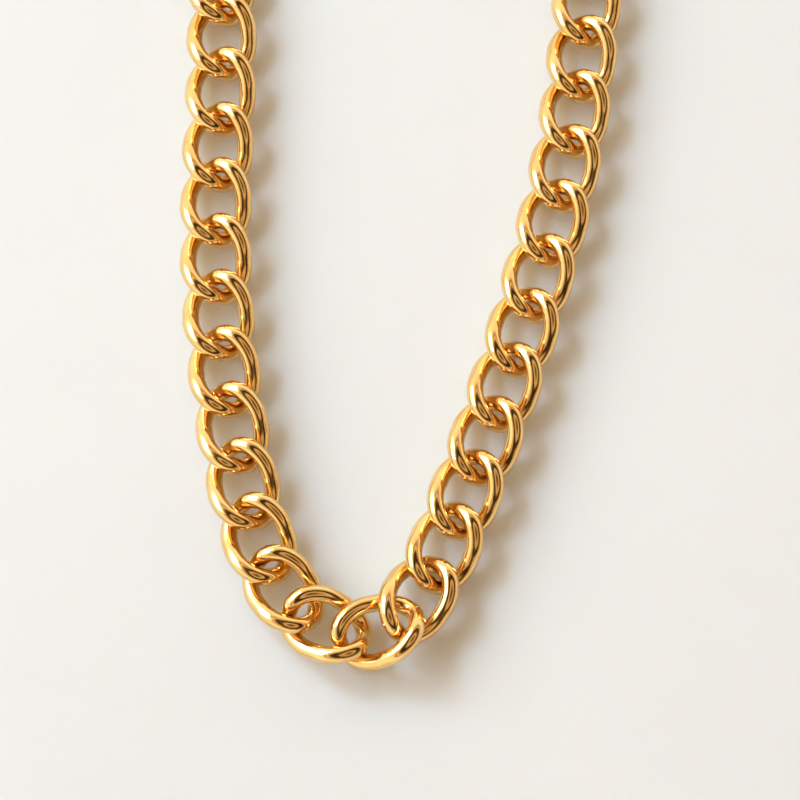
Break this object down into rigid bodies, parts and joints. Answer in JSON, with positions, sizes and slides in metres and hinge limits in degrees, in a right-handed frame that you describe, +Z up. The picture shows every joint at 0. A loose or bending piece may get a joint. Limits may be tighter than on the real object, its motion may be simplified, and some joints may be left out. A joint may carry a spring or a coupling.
{
  "type": "chain necklace",
  "caption": "Heavy curb-chain necklace of round gold-coloured wire with a lobster clasp and a closing ring, undone and laid flat in a long loop.",
  "frame": {"origin": "on the surface that the necklace lies on, under the middle of its outline", "axes": "+Z up, +Y from the lowest link of the loop towards the clasp, +X from the closing-ring side to the clasp side"},
  "size_m": [0.0618, 0.1984, 0.0059],
  "materials": {
    "gold": "polished",
    "clasp_gold": "polished",
    "spring_steel": "satin"
  },
  "bodies": {
    "link_middle": {"link_middle": "gold"},
    "link_left_01": {"link_left_01": "gold"},
    "link_left_02": {"link_left_02": "gold"},
    "link_left_03": {"link_left_03": "gold"},
    "link_left_04": {"link_left_04": "gold"},
    "link_left_05": {"link_left_05": "gold"},
    "link_left_06": {"link_left_06": "gold"},
    "link_left_07": {"link_left_07": "gold"},
    "link_left_08": {"link_left_08": "gold"},
    "link_left_09": {"link_left_09": "gold"},
    "link_left_10": {"link_left_10": "gold"},
    "link_left_11": {"link_left_11": "gold"},
    "link_left_12": {"link_left_12": "gold"},
    "link_left_13": {"link_left_13": "gold"},
    "link_left_14": {"link_left_14": "gold"},
    "link_left_15": {"link_left_15": "gold"},
    "link_left_16": {"link_left_16": "gold"},
    "link_left_17": {"link_left_17": "gold"},
    "link_left_18": {"link_left_18": "gold"},
    "link_left_19": {"link_left_19": "gold"},
    "link_left_20": {"link_left_20": "gold"},
    "link_left_21": {"link_left_21": "gold"},
    "link_left_22": {"link_left_22": "gold"},
    "link_left_23": {"link_left_23": "gold"},
    "link_left_24": {"link_left_24": "gold"},
    "link_left_25": {"link_left_25": "gold"},
    "link_left_26": {"link_left_26": "gold"},
    "link_left_27": {"link_left_27": "gold"},
    "link_right_01": {"link_right_01": "gold"},
    "link_right_02": {"link_right_02": "gold"},
    "link_right_03": {"link_right_03": "gold"},
    "link_right_04": {"link_right_04": "gold"},
    "link_right_05": {"link_right_05": "gold"},
    "link_right_06": {"link_right_06": "gold"},
    "link_right_07": {"link_right_07": "gold"},
    "link_right_08": {"link_right_08": "gold"},
    "link_right_09": {"link_right_09": "gold"},
    "link_right_10": {"link_right_10": "gold"},
    "link_right_11": {"link_right_11": "gold"},
    "link_right_12": {"link_right_12": "gold"},
    "link_right_13": {"link_right_13": "gold"},
    "link_right_14": {"link_right_14": "gold"},
    "link_right_15": {"link_right_15": "gold"},
    "link_right_16": {"link_right_16": "gold"},
    "link_right_17": {"link_right_17": "gold"},
    "link_right_18": {"link_right_18": "gold"},
    "link_right_19": {"link_right_19": "gold"},
    "link_right_20": {"link_right_20": "gold"},
    "link_right_21": {"link_right_21": "gold"},
    "link_right_22": {"link_right_22": "gold"},
    "link_right_23": {"link_right_23": "gold"},
    "link_right_24": {"link_right_24": "gold"},
    "link_right_25": {"link_right_25": "gold"},
    "link_right_26": {"link_right_26": "gold"},
    "closing_ring": {"closing_ring": "gold"},
    "clasp_ring": {"clasp_ring": "gold"},
    "clasp": {"clasp_body": "clasp_gold", "lever_pin": "clasp_gold", "lever_spring": "spring_steel"},
    "lever": {"clasp_lever": "clasp_gold"}
  },
  "joints": [
    {"name": "link_left_01_hinge", "type": "hinge", "parent": "link_middle", "child": "link_left_01", "pos_m": [-0.00793, -0.09594, 0.00227], "axis": [0.2975, -0.6978, -0.6516], "range_deg": [-22, 0]},
    {"name": "link_left_02_hinge", "type": "hinge", "parent": "link_left_01", "child": "link_left_02", "pos_m": [-0.01379, -0.09209, 0.00252], "axis": [0.3247, 0.7037, 0.632], "range_deg": [0, 19]},
    {"name": "link_left_03_hinge", "type": "hinge", "parent": "link_left_02", "child": "link_left_03", "pos_m": [-0.01721, -0.08611, 0.00224], "axis": [-0.6169, -0.4563, -0.6413], "range_deg": [-6, 1]},
    {"name": "link_left_04_hinge", "type": "hinge", "parent": "link_left_03", "child": "link_left_04", "pos_m": [-0.01913, -0.07949, 0.0022], "axis": [-0.6645, -0.2418, -0.7071], "range_deg": [-20, 12]},
    {"name": "link_left_05_hinge", "type": "hinge", "parent": "link_left_04", "child": "link_left_05", "pos_m": [-0.02052, -0.0728, 0.0022], "axis": [0.689, 0.1591, 0.7071], "range_deg": [-14, 18]},
    {"name": "link_left_06_hinge", "type": "hinge", "parent": "link_left_05", "child": "link_left_06", "pos_m": [-0.02165, -0.06601, 0.0022], "axis": [-0.6964, -0.1228, -0.7071], "range_deg": [-18, 16]},
    {"name": "link_left_07_hinge", "type": "hinge", "parent": "link_left_06", "child": "link_left_07", "pos_m": [-0.02257, -0.05915, 0.0022], "axis": [0.7002, 0.0984, 0.7071], "range_deg": [-16, 19]},
    {"name": "link_left_08_hinge", "type": "hinge", "parent": "link_left_07", "child": "link_left_08", "pos_m": [-0.02312, -0.05219, 0.0022], "axis": [-0.7044, -0.0616, -0.7071], "range_deg": [-20, 16]},
    {"name": "link_left_09_hinge", "type": "hinge", "parent": "link_left_08", "child": "link_left_09", "pos_m": [-0.0233, -0.04517, 0.0022], "axis": [0.7067, 0.0247, 0.7071], "range_deg": [-17, 20]},
    {"name": "link_left_10_hinge", "type": "hinge", "parent": "link_left_09", "child": "link_left_10", "pos_m": [-0.02327, -0.03809, 0.0022], "axis": [-0.7071, 0, -0.7071], "range_deg": [-20, 18]},
    {"name": "link_left_11_hinge", "type": "hinge", "parent": "link_left_10", "child": "link_left_11", "pos_m": [-0.02298, -0.031, 0.0022], "axis": [0.7067, -0.0247, 0.7071], "range_deg": [-20, 18]},
    {"name": "link_left_12_hinge", "type": "hinge", "parent": "link_left_11", "child": "link_left_12", "pos_m": [-0.02287, -0.0239, 0.0022], "axis": [-0.707, 0.0123, -0.7071], "range_deg": [-18, 20]},
    {"name": "link_left_13_hinge", "type": "hinge", "parent": "link_left_12", "child": "link_left_13", "pos_m": [-0.02304, -0.0168, 0.0022], "axis": [0.707, 0.0123, 0.7071], "range_deg": [-20, 18]},
    {"name": "link_left_14_hinge", "type": "hinge", "parent": "link_left_13", "child": "link_left_14", "pos_m": [-0.02345, -0.00971, 0.0022], "axis": [-0.7061, -0.037, -0.7071], "range_deg": [-19, 19]},
    {"name": "link_left_15_hinge", "type": "hinge", "parent": "link_left_14", "child": "link_left_15", "pos_m": [-0.02382, -0.00262, 0.0022], "axis": [0.7061, 0.037, 0.7071], "range_deg": [-19, 19]},
    {"name": "link_left_16_hinge", "type": "hinge", "parent": "link_left_15", "child": "link_left_16", "pos_m": [-0.02419, 0.00447, 0.0022], "axis": [-0.7061, -0.037, -0.7071], "range_deg": [-19, 19]},
    {"name": "link_left_17_hinge", "type": "hinge", "parent": "link_left_16", "child": "link_left_17", "pos_m": [-0.02456, 0.01156, 0.0022], "axis": [0.7061, 0.037, 0.7071], "range_deg": [-19, 19]},
    {"name": "link_left_18_hinge", "type": "hinge", "parent": "link_left_17", "child": "link_left_18", "pos_m": [-0.02493, 0.01865, 0.0022], "axis": [-0.7061, -0.037, -0.7071], "range_deg": [-19, 19]},
    {"name": "link_left_19_hinge", "type": "hinge", "parent": "link_left_18", "child": "link_left_19", "pos_m": [-0.02531, 0.02574, 0.0022], "axis": [0.7061, 0.037, 0.7071], "range_deg": [-19, 19]},
    {"name": "link_left_20_hinge", "type": "hinge", "parent": "link_left_19", "child": "link_left_20", "pos_m": [-0.02568, 0.03283, 0.0022], "axis": [-0.7061, -0.037, -0.7071], "range_deg": [-19, 19]},
    {"name": "link_left_21_hinge", "type": "hinge", "parent": "link_left_20", "child": "link_left_21", "pos_m": [-0.02605, 0.03992, 0.0022], "axis": [0.7061, 0.037, 0.7071], "range_deg": [-19, 19]},
    {"name": "link_left_22_hinge", "type": "hinge", "parent": "link_left_21", "child": "link_left_22", "pos_m": [-0.02642, 0.04701, 0.0022], "axis": [-0.7061, -0.037, -0.7071], "range_deg": [-19, 19]},
    {"name": "link_left_23_hinge", "type": "hinge", "parent": "link_left_22", "child": "link_left_23", "pos_m": [-0.02679, 0.0541, 0.0022], "axis": [0.7061, 0.037, 0.7071], "range_deg": [-11, 22]},
    {"name": "link_left_24_hinge", "type": "hinge", "parent": "link_left_23", "child": "link_left_24", "pos_m": [-0.02517, 0.06105, 0.0022], "axis": [-0.6941, 0.1349, -0.7071], "range_deg": [-22, 11]},
    {"name": "link_left_25_hinge", "type": "hinge", "parent": "link_left_24", "child": "link_left_25", "pos_m": [-0.02191, 0.0674, 0.0022], "axis": [0.6409, -0.2988, 0.7071], "range_deg": [-11, 22]},
    {"name": "link_left_26_hinge", "type": "hinge", "parent": "link_left_25", "child": "link_left_26", "pos_m": [-0.01722, 0.07278, 0.0022], "axis": [-0.5495, 0.445, -0.7071], "range_deg": [-22, 11]},
    {"name": "link_left_27_hinge", "type": "hinge", "parent": "link_left_26", "child": "link_left_27", "pos_m": [-0.01136, 0.07686, 0.0022], "axis": [0.4255, -0.5647, 0.7071], "range_deg": [-11, 22]},
    {"name": "closing_ring_hinge", "type": "hinge", "parent": "link_left_27", "child": "closing_ring", "pos_m": [-0.00469, 0.0794, 0.0022], "axis": [-0.2763, 0.6509, -0.7071], "range_deg": [-22, 22]},
    {"name": "link_right_01_hinge", "type": "hinge", "parent": "link_middle", "child": "link_right_01", "pos_m": [0.00093, -0.09344, 0.00363], "axis": [0.0736, -0.6637, 0.7443], "range_deg": [-22, 0]},
    {"name": "link_right_02_hinge", "type": "hinge", "parent": "link_right_01", "child": "link_right_02", "pos_m": [0.00336, -0.0869, 0.00196], "axis": [-0.7157, 0.2996, -0.6309], "range_deg": [-1, 3]},
    {"name": "link_right_03_hinge", "type": "hinge", "parent": "link_right_02", "child": "link_right_03", "pos_m": [0.00593, -0.08046, 0.0022], "axis": [0.6556, -0.2649, 0.7071], "range_deg": [-16, 15]},
    {"name": "link_right_04_hinge", "type": "hinge", "parent": "link_right_03", "child": "link_right_04", "pos_m": [0.00836, -0.07408, 0.0022], "axis": [-0.6601, 0.2534, -0.7071], "range_deg": [-16, 17]},
    {"name": "link_right_05_hinge", "type": "hinge", "parent": "link_right_04", "child": "link_right_05", "pos_m": [0.01069, -0.06761, 0.0022], "axis": [0.6645, -0.2418, 0.7071], "range_deg": [-17, 16]},
    {"name": "link_right_06_hinge", "type": "hinge", "parent": "link_right_05", "child": "link_right_06", "pos_m": [0.01292, -0.06106, 0.0022], "axis": [-0.6686, 0.2302, -0.7071], "range_deg": [-16, 19]},
    {"name": "link_right_07_hinge", "type": "hinge", "parent": "link_right_06", "child": "link_right_07", "pos_m": [0.01492, -0.05437, 0.0022], "axis": [0.6762, -0.2067, 0.7071], "range_deg": [-19, 17]},
    {"name": "link_right_08_hinge", "type": "hinge", "parent": "link_right_07", "child": "link_right_08", "pos_m": [0.01684, -0.04761, 0.0022], "axis": [-0.6797, 0.1949, -0.7071], "range_deg": [-17, 20]},
    {"name": "link_right_09_hinge", "type": "hinge", "parent": "link_right_08", "child": "link_right_09", "pos_m": [0.01852, -0.04074, 0.0022], "axis": [0.6861, -0.1711, 0.7071], "range_deg": [-20, 18]},
    {"name": "link_right_10_hinge", "type": "hinge", "parent": "link_right_09", "child": "link_right_10", "pos_m": [0.01995, -0.03379, 0.0022], "axis": [-0.6917, 0.147, -0.7071], "range_deg": [-17, 21]},
    {"name": "link_right_11_hinge", "type": "hinge", "parent": "link_right_10", "child": "link_right_11", "pos_m": [0.02101, -0.02676, 0.0022], "axis": [0.6984, -0.1106, 0.7071], "range_deg": [-20, 18]},
    {"name": "link_right_12_hinge", "type": "hinge", "parent": "link_right_11", "child": "link_right_12", "pos_m": [0.02184, -0.01971, 0.0022], "axis": [-0.7018, 0.0862, -0.7071], "range_deg": [-18, 20]},
    {"name": "link_right_13_hinge", "type": "hinge", "parent": "link_right_12", "child": "link_right_13", "pos_m": [0.02242, -0.01263, 0.0022], "axis": [0.7044, -0.0616, 0.7071], "range_deg": [-20, 18]},
    {"name": "link_right_14_hinge", "type": "hinge", "parent": "link_right_13", "child": "link_right_14", "pos_m": [0.02289, -0.00555, 0.0022], "axis": [-0.7054, 0.0493, -0.7071], "range_deg": [-19, 19]},
    {"name": "link_right_15_hinge", "type": "hinge", "parent": "link_right_14", "child": "link_right_15", "pos_m": [0.02339, 0.00153, 0.0022], "axis": [0.7054, -0.0493, 0.7071], "range_deg": [-19, 19]},
    {"name": "link_right_16_hinge", "type": "hinge", "parent": "link_right_15", "child": "link_right_16", "pos_m": [0.02388, 0.00862, 0.0022], "axis": [-0.7054, 0.0493, -0.7071], "range_deg": [-19, 19]},
    {"name": "link_right_17_hinge", "type": "hinge", "parent": "link_right_16", "child": "link_right_17", "pos_m": [0.02438, 0.0157, 0.0022], "axis": [0.7054, -0.0493, 0.7071], "range_deg": [-19, 19]},
    {"name": "link_right_18_hinge", "type": "hinge", "parent": "link_right_17", "child": "link_right_18", "pos_m": [0.02487, 0.02278, 0.0022], "axis": [-0.7054, 0.0493, -0.7071], "range_deg": [-19, 19]},
    {"name": "link_right_19_hinge", "type": "hinge", "parent": "link_right_18", "child": "link_right_19", "pos_m": [0.02537, 0.02986, 0.0022], "axis": [0.7054, -0.0493, 0.7071], "range_deg": [-19, 19]},
    {"name": "link_right_20_hinge", "type": "hinge", "parent": "link_right_19", "child": "link_right_20", "pos_m": [0.02586, 0.03695, 0.0022], "axis": [-0.7054, 0.0493, -0.7071], "range_deg": [-19, 19]},
    {"name": "link_right_21_hinge", "type": "hinge", "parent": "link_right_20", "child": "link_right_21", "pos_m": [0.02636, 0.04403, 0.0022], "axis": [0.7054, -0.0493, 0.7071], "range_deg": [-19, 19]},
    {"name": "link_right_22_hinge", "type": "hinge", "parent": "link_right_21", "child": "link_right_22", "pos_m": [0.02685, 0.05111, 0.0022], "axis": [-0.7054, 0.0493, -0.7071], "range_deg": [-13, 22]},
    {"name": "link_right_23_hinge", "type": "hinge", "parent": "link_right_22", "child": "link_right_23", "pos_m": [0.02592, 0.05817, 0.0022], "axis": [0.7032, 0.0739, 0.7071], "range_deg": [-22, 13]},
    {"name": "link_right_24_hinge", "type": "hinge", "parent": "link_right_23", "child": "link_right_24", "pos_m": [0.02378, 0.06496, 0.0022], "axis": [-0.6797, -0.1949, -0.7071], "range_deg": [-13, 22]},
    {"name": "link_right_25_hinge", "type": "hinge", "parent": "link_right_24", "child": "link_right_25", "pos_m": [0.02048, 0.07127, 0.0022], "axis": [0.6355, 0.31, 0.7071], "range_deg": [-22, 13]},
    {"name": "link_right_26_hinge", "type": "hinge", "parent": "link_right_25", "child": "link_right_26", "pos_m": [0.01614, 0.07692, 0.0022], "axis": [-0.5721, -0.4156, -0.7071], "range_deg": [-13, 22]},
    {"name": "clasp_ring_hinge", "type": "hinge", "parent": "link_right_26", "child": "clasp_ring", "pos_m": [0.01089, 0.08172, 0.0022], "axis": [-0.4912, -0.5086, -0.7071], "range_deg": [-22, 22]},
    {"name": "clasp_hinge", "type": "hinge", "parent": "clasp_ring", "child": "clasp", "pos_m": [0.00869, 0.085, 0.00248], "axis": [-0.5862, -0.3954, 0.7071], "range_deg": [-2, 22]},
    {"name": "lever_hinge", "type": "hinge", "parent": "clasp", "child": "lever", "pos_m": [0.00377, 0.08959, 0.0019], "axis": [0.0297, -0.038, -0.9988], "range_deg": [0, 24], "stiffness_Nm_per_rad": 0.02, "springref_deg": -22.92, "deforming": ["lever_spring"]}
  ]
}
